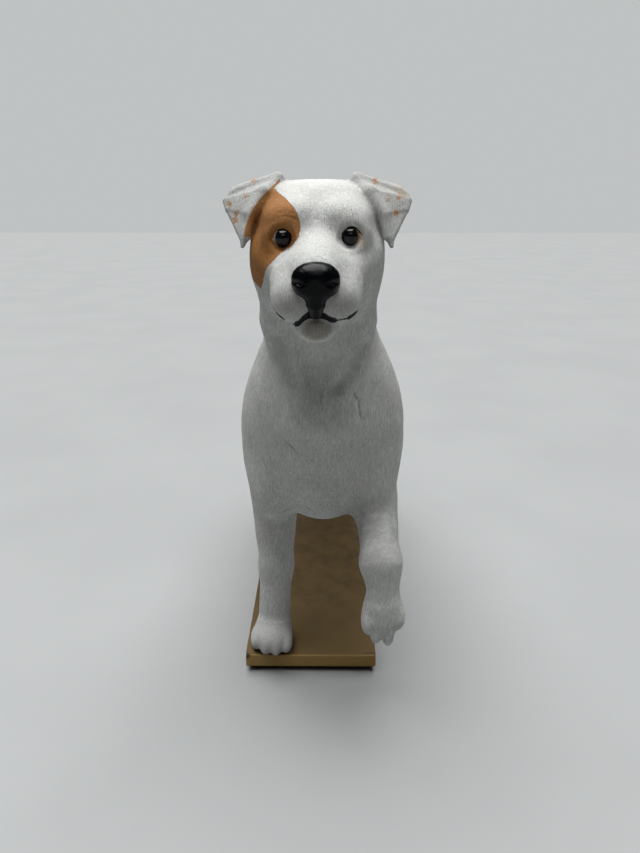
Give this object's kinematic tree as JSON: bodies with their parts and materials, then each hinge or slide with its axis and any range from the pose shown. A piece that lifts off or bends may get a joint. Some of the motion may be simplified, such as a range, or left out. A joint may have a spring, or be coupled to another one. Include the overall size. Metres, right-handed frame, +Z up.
{
  "type": "dog figurine",
  "caption": "Standing dog figurine, one front paw raised, modelled in matt-painted clay over a wire and foil armature and pinned to a felt-backed wooden board.",
  "frame": {"origin": "centre of the felt underside, the face that rests on a shelf", "axes": "+Z up, -Y towards the front of the board, where the dog faces, +X to the dog's left"},
  "size_m": [0.0497, 0.2044, 0.1565],
  "materials": {
    "felt": "dark brown craft felt, slightly fuzzy",
    "board_wood": "brown stained board with a fine mottled grain, edges rubbed",
    "armature_wire": "dull drawn wire",
    "foil_core": "crumpled and rolled foil",
    "white_clay": "matt white paint with fine brush strokes and small dark specks",
    "painted_head_clay": "matt white paint with a brown patch over the right eye, black lips and grey-shaded muzzle",
    "painted_jaw_clay": "matt white paint shaded grey-brown at the chin, dark along the lip",
    "black_nose_clay": "black paint with a satin sheen",
    "glossy_eye": "black gloss varnish with an amber rim",
    "brown_lid_clay": "matt brown paint",
    "white_lid_clay": "matt white paint, dark at the rim",
    "spotted_ear_clay": "matt white paint with small tan spots",
    "paw_clay": "matt white paint, toes tipped reddish brown"
  },
  "bodies": {
    "root": {"felt_pad": "felt", "base_board": "board_wood", "spine_wire": "armature_wire", "front_right_leg_wire": "armature_wire", "front_left_leg_wire": "armature_wire", "rear_right_leg_wire": "armature_wire", "rear_left_leg_wire": "armature_wire", "shoulder_binding_wire": "armature_wire", "hip_binding_wire": "armature_wire", "torso_core": "foil_core", "head_core": "foil_core", "torso": "white_clay", "head": "painted_head_clay", "neck": "white_clay", "lower_jaw": "painted_jaw_clay", "nose": "black_nose_clay", "right_eye": "glossy_eye", "right_upper_eyelid": "brown_lid_clay", "right_lower_eyelid": "brown_lid_clay", "right_ear": "spotted_ear_clay", "left_eye": "glossy_eye", "left_upper_eyelid": "white_lid_clay", "left_lower_eyelid": "white_lid_clay", "left_ear": "spotted_ear_clay", "front_right_leg": "white_clay", "front_right_paw": "paw_clay", "front_left_leg": "white_clay", "front_left_paw": "paw_clay", "rear_right_leg": "white_clay", "rear_right_paw": "paw_clay", "rear_left_leg": "white_clay", "rear_left_paw": "paw_clay", "tail": "white_clay"}
  },
  "joints": []
}
